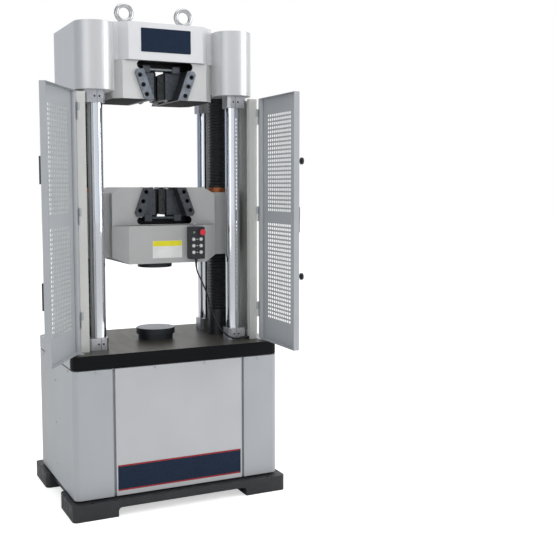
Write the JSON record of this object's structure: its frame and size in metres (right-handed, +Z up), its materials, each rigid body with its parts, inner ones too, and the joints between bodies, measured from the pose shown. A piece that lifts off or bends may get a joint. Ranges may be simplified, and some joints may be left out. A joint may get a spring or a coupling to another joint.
{
  "type": "universal testing machine load frame",
  "caption": "Floor-standing testing machine load frame with wedge grips in two crossheads, compression platens, ram-lifted worktable, screw-driven crosshead and guard doors.",
  "frame": {"origin": "on the floor, centred between the four anchor holes of the base casting", "axes": "+X to the machine's right seen from its front, +Y to its back, +Z up"},
  "size_m": [1.1544, 1.0272, 2.2647],
  "materials": {
    "black_casting": "black hammered paint",
    "grey_casting": "silver grey paint over cast steel",
    "panel_grey": "fine textured powder coat",
    "cover_white": "white powder coat",
    "cover_silver": "silver metallic paint",
    "grip_black": "black oxide steel",
    "chrome": "hard chrome, polished",
    "steel": "machined steel",
    "bronze": "turned bronze",
    "bellows_rubber": "coated fabric",
    "plastic_black": "moulded",
    "plastic_white": "moulded",
    "plastic_red": "moulded",
    "cord_rubber": "cable sheath"
  },
  "bodies": {
    "base": {"base_plate": "black_casting", "cabinet_frame": "steel", "left_panel": "panel_grey", "right_panel": "panel_grey", "front_panel": "panel_grey", "rear_panel": "panel_grey", "ram_cylinder": "steel", "port_block": "steel", "drive_motor": "grey_casting", "bearing_housings": "grey_casting", "drive_chain": "steel", "upper_bellows": "bellows_rubber", "lower_bellows": "bellows_rubber"},
    "moving_frame": {"worktable": "black_casting", "piston": "chrome", "columns": "chrome", "column_collars": "steel", "column_nuts": "steel", "upper_crosshead": "grey_casting", "upper_front_cover": "cover_white", "upper_rear_cover": "cover_white", "left_side_cover": "cover_silver", "right_side_cover": "cover_silver", "eyebolts": "steel", "upper_end_plates": "grip_black", "upper_liners": "grip_black", "lower_platen": "grip_black", "left_side_guard": "panel_grey", "right_side_guard": "panel_grey", "bellows_sleeves": "plastic_black", "cord_gland": "plastic_black"},
    "middle_crosshead": {"middle_crosshead": "grey_casting", "middle_front_cover": "cover_silver", "middle_rear_cover": "cover_silver", "screw_nuts": "bronze", "lower_end_plates": "grip_black", "lower_liners": "grip_black", "upper_platen": "grip_black", "pendant_housing": "plastic_black", "pendant_cord": "cord_rubber"},
    "upper_left_jaw": {"upper_left_jaw": "grip_black"},
    "upper_right_jaw": {"upper_right_jaw": "grip_black"},
    "upper_jaw_bar": {"upper_jaw_bar": "steel"},
    "lower_left_jaw": {"lower_left_jaw": "grip_black"},
    "lower_right_jaw": {"lower_right_jaw": "grip_black"},
    "lower_jaw_bar": {"lower_jaw_bar": "steel"},
    "left_lead_screw": {"left_lead_screw": "steel"},
    "right_lead_screw": {"right_lead_screw": "steel"},
    "motor_pinion": {"motor_pinion": "steel"},
    "left_door": {"left_door": "panel_grey", "left_door_handle": "plastic_black"},
    "right_door": {"right_door": "panel_grey", "right_door_handle": "plastic_black"},
    "emergency_stop": {"emergency_stop": "plastic_red"},
    "button_1": {"button_1": "plastic_white"},
    "button_2": {"button_2": "plastic_white"},
    "button_3": {"button_3": "plastic_white"},
    "button_4": {"button_4": "plastic_white"},
    "button_5": {"button_5": "plastic_white"},
    "button_6": {"button_6": "plastic_white"}
  },
  "joints": [
    {"name": "ram_lift", "type": "slide", "parent": "base", "child": "moving_frame", "axis": [0, 0, 1], "range_m": [0, 0.15]},
    {"name": "crosshead_travel", "type": "slide", "parent": "base", "child": "middle_crosshead", "axis": [0, 0, 1], "range_m": [-0.24, 0.3], "deforming": ["upper_bellows", "lower_bellows", "pendant_cord"]},
    {"name": "left_screw_turn", "type": "hinge", "parent": "base", "child": "left_lead_screw", "pos_m": [-0.327, 0, 0.5], "axis": [0, 0, 1], "range_deg": [-6752, 5402]},
    {"name": "right_screw_turn", "type": "hinge", "parent": "base", "child": "right_lead_screw", "pos_m": [0.327, 0, 0.5], "axis": [0, 0, 1], "range_deg": [-6752, 5402]},
    {"name": "motor_turn", "type": "hinge", "parent": "base", "child": "motor_pinion", "pos_m": [0, 0.21, 0.3], "axis": [0, 0, 1], "range_deg": [-20252, 16202]},
    {"name": "upper_left_jaw_slide", "type": "slide", "parent": "moving_frame", "child": "upper_left_jaw", "axis": [0.342, 0, -0.9397], "range_m": [-0.01, 0.05]},
    {"name": "upper_right_jaw_slide", "type": "slide", "parent": "moving_frame", "child": "upper_right_jaw", "axis": [-0.342, 0, -0.9397], "range_m": [-0.01, 0.05]},
    {"name": "upper_jaw_bar_slide", "type": "slide", "parent": "moving_frame", "child": "upper_jaw_bar", "axis": [0, 0, -1], "range_m": [-0.0095, 0.0471]},
    {"name": "lower_left_jaw_slide", "type": "slide", "parent": "middle_crosshead", "child": "lower_left_jaw", "axis": [0.342, 0, 0.9397], "range_m": [-0.01, 0.05]},
    {"name": "lower_right_jaw_slide", "type": "slide", "parent": "middle_crosshead", "child": "lower_right_jaw", "axis": [-0.342, 0, 0.9397], "range_m": [-0.01, 0.05]},
    {"name": "lower_jaw_bar_slide", "type": "slide", "parent": "middle_crosshead", "child": "lower_jaw_bar", "axis": [0, 0, 1], "range_m": [-0.0095, 0.0471]},
    {"name": "left_door_hinge", "type": "hinge", "parent": "moving_frame", "child": "left_door", "pos_m": [-0.42, -0.258, 1.3], "axis": [0, 0, 1], "range_deg": [-8, 122]},
    {"name": "right_door_hinge", "type": "hinge", "parent": "moving_frame", "child": "right_door", "pos_m": [0.42, -0.258, 1.3], "axis": [0, 0, -1], "range_deg": [-41.5, 88.5]},
    {"name": "emergency_stop_push", "type": "slide", "parent": "middle_crosshead", "child": "emergency_stop", "axis": [0, 1, 0], "range_m": [0, 0.004], "stiffness_N_per_m": 800, "springref_m": -0.002},
    {"name": "button_1_push", "type": "slide", "parent": "middle_crosshead", "child": "button_1", "axis": [0, 1, 0], "range_m": [0, 0.003], "stiffness_N_per_m": 400, "springref_m": -0.002},
    {"name": "button_2_push", "type": "slide", "parent": "middle_crosshead", "child": "button_2", "axis": [0, 1, 0], "range_m": [0, 0.003], "stiffness_N_per_m": 400, "springref_m": -0.002},
    {"name": "button_3_push", "type": "slide", "parent": "middle_crosshead", "child": "button_3", "axis": [0, 1, 0], "range_m": [0, 0.003], "stiffness_N_per_m": 400, "springref_m": -0.002},
    {"name": "button_4_push", "type": "slide", "parent": "middle_crosshead", "child": "button_4", "axis": [0, 1, 0], "range_m": [0, 0.003], "stiffness_N_per_m": 400, "springref_m": -0.002},
    {"name": "button_5_push", "type": "slide", "parent": "middle_crosshead", "child": "button_5", "axis": [0, 1, 0], "range_m": [0, 0.003], "stiffness_N_per_m": 400, "springref_m": -0.002},
    {"name": "button_6_push", "type": "slide", "parent": "middle_crosshead", "child": "button_6", "axis": [0, 1, 0], "range_m": [0, 0.003], "stiffness_N_per_m": 400, "springref_m": -0.002}
  ],
  "couplings": [
    {"joint": "left_screw_turn", "follows": "crosshead_travel", "rad_per_m": -392.7},
    {"joint": "right_screw_turn", "follows": "crosshead_travel", "rad_per_m": -392.7},
    {"joint": "motor_turn", "follows": "crosshead_travel", "rad_per_m": -1178.1},
    {"joint": "upper_right_jaw_slide", "follows": "upper_left_jaw_slide", "ratio": 1},
    {"joint": "upper_jaw_bar_slide", "follows": "upper_left_jaw_slide", "ratio": 0.93969},
    {"joint": "lower_right_jaw_slide", "follows": "lower_left_jaw_slide", "ratio": 1},
    {"joint": "lower_jaw_bar_slide", "follows": "lower_left_jaw_slide", "ratio": 0.93969}
  ]
}
